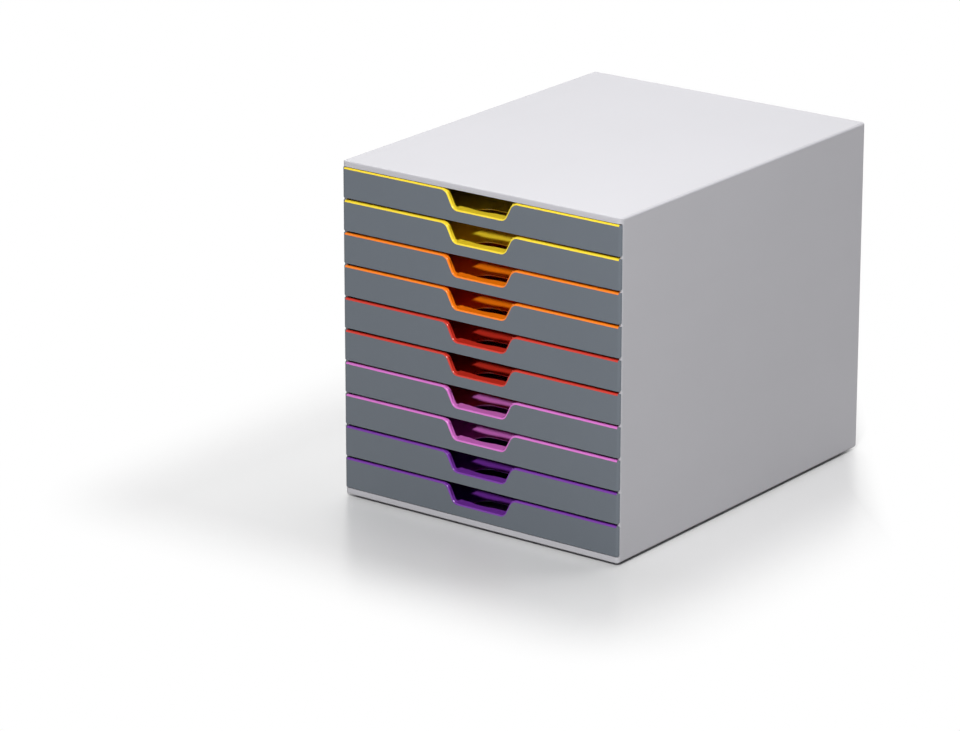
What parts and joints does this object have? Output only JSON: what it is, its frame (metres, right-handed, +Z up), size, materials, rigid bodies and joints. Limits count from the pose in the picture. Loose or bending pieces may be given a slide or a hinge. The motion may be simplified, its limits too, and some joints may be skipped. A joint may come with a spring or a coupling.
{
  "type": "drawer tower",
  "caption": "Free-standing desktop drawer tower: a box casing with flat stacked drawers, each a coloured tray behind a slate grey front with a finger grip.",
  "frame": {"origin": "centre of the footprint, at the underside of the feet", "axes": "+X to the right seen from the front, +Y to the rear, +Z up; the drawers pull out along -Y"},
  "size_m": [0.28, 0.356, 0.292],
  "materials": {
    "casing_grey": "light grey styrene with a fine satin grain",
    "cover_grey": "slate grey styrene, satin",
    "rack_grey": "plain moulded grey",
    "foot_rubber": "matt black rubber",
    "tray_yellow": "yellow styrene, soft gloss",
    "tray_orange": "orange styrene, soft gloss",
    "tray_red": "red styrene, soft gloss",
    "tray_pink": "pink styrene, soft gloss",
    "tray_purple": "purple styrene, soft gloss"
  },
  "bodies": {
    "casing": {"casing_shell": "casing_grey", "rear_panel": "casing_grey", "left_upper_rack": "rack_grey", "left_lower_rack": "rack_grey", "right_upper_rack": "rack_grey", "right_lower_rack": "rack_grey", "front_left_foot": "foot_rubber", "front_right_foot": "foot_rubber", "rear_left_foot": "foot_rubber", "rear_right_foot": "foot_rubber"},
    "drawer_01": {"tray_01": "tray_yellow", "front_cover_01": "cover_grey"},
    "drawer_02": {"tray_02": "tray_yellow", "front_cover_02": "cover_grey"},
    "drawer_03": {"tray_03": "tray_orange", "front_cover_03": "cover_grey"},
    "drawer_04": {"tray_04": "tray_orange", "front_cover_04": "cover_grey"},
    "drawer_05": {"tray_05": "tray_red", "front_cover_05": "cover_grey"},
    "drawer_06": {"tray_06": "tray_red", "front_cover_06": "cover_grey"},
    "drawer_07": {"tray_07": "tray_pink", "front_cover_07": "cover_grey"},
    "drawer_08": {"tray_08": "tray_pink", "front_cover_08": "cover_grey"},
    "drawer_09": {"tray_09": "tray_purple", "front_cover_09": "cover_grey"},
    "drawer_10": {"tray_10": "tray_purple", "front_cover_10": "cover_grey"}
  },
  "joints": [
    {"name": "drawer_01_slide", "type": "slide", "parent": "casing", "child": "drawer_01", "axis": [0, -1, 0], "range_m": [0, 0.25]},
    {"name": "drawer_02_slide", "type": "slide", "parent": "casing", "child": "drawer_02", "axis": [0, -1, 0], "range_m": [0, 0.25]},
    {"name": "drawer_03_slide", "type": "slide", "parent": "casing", "child": "drawer_03", "axis": [0, -1, 0], "range_m": [0, 0.25]},
    {"name": "drawer_04_slide", "type": "slide", "parent": "casing", "child": "drawer_04", "axis": [0, -1, 0], "range_m": [0, 0.25]},
    {"name": "drawer_05_slide", "type": "slide", "parent": "casing", "child": "drawer_05", "axis": [0, -1, 0], "range_m": [0, 0.25]},
    {"name": "drawer_06_slide", "type": "slide", "parent": "casing", "child": "drawer_06", "axis": [0, -1, 0], "range_m": [0, 0.25]},
    {"name": "drawer_07_slide", "type": "slide", "parent": "casing", "child": "drawer_07", "axis": [0, -1, 0], "range_m": [0, 0.25]},
    {"name": "drawer_08_slide", "type": "slide", "parent": "casing", "child": "drawer_08", "axis": [0, -1, 0], "range_m": [0, 0.25]},
    {"name": "drawer_09_slide", "type": "slide", "parent": "casing", "child": "drawer_09", "axis": [0, -1, 0], "range_m": [0, 0.25]},
    {"name": "drawer_10_slide", "type": "slide", "parent": "casing", "child": "drawer_10", "axis": [0, -1, 0], "range_m": [0, 0.25]}
  ]
}
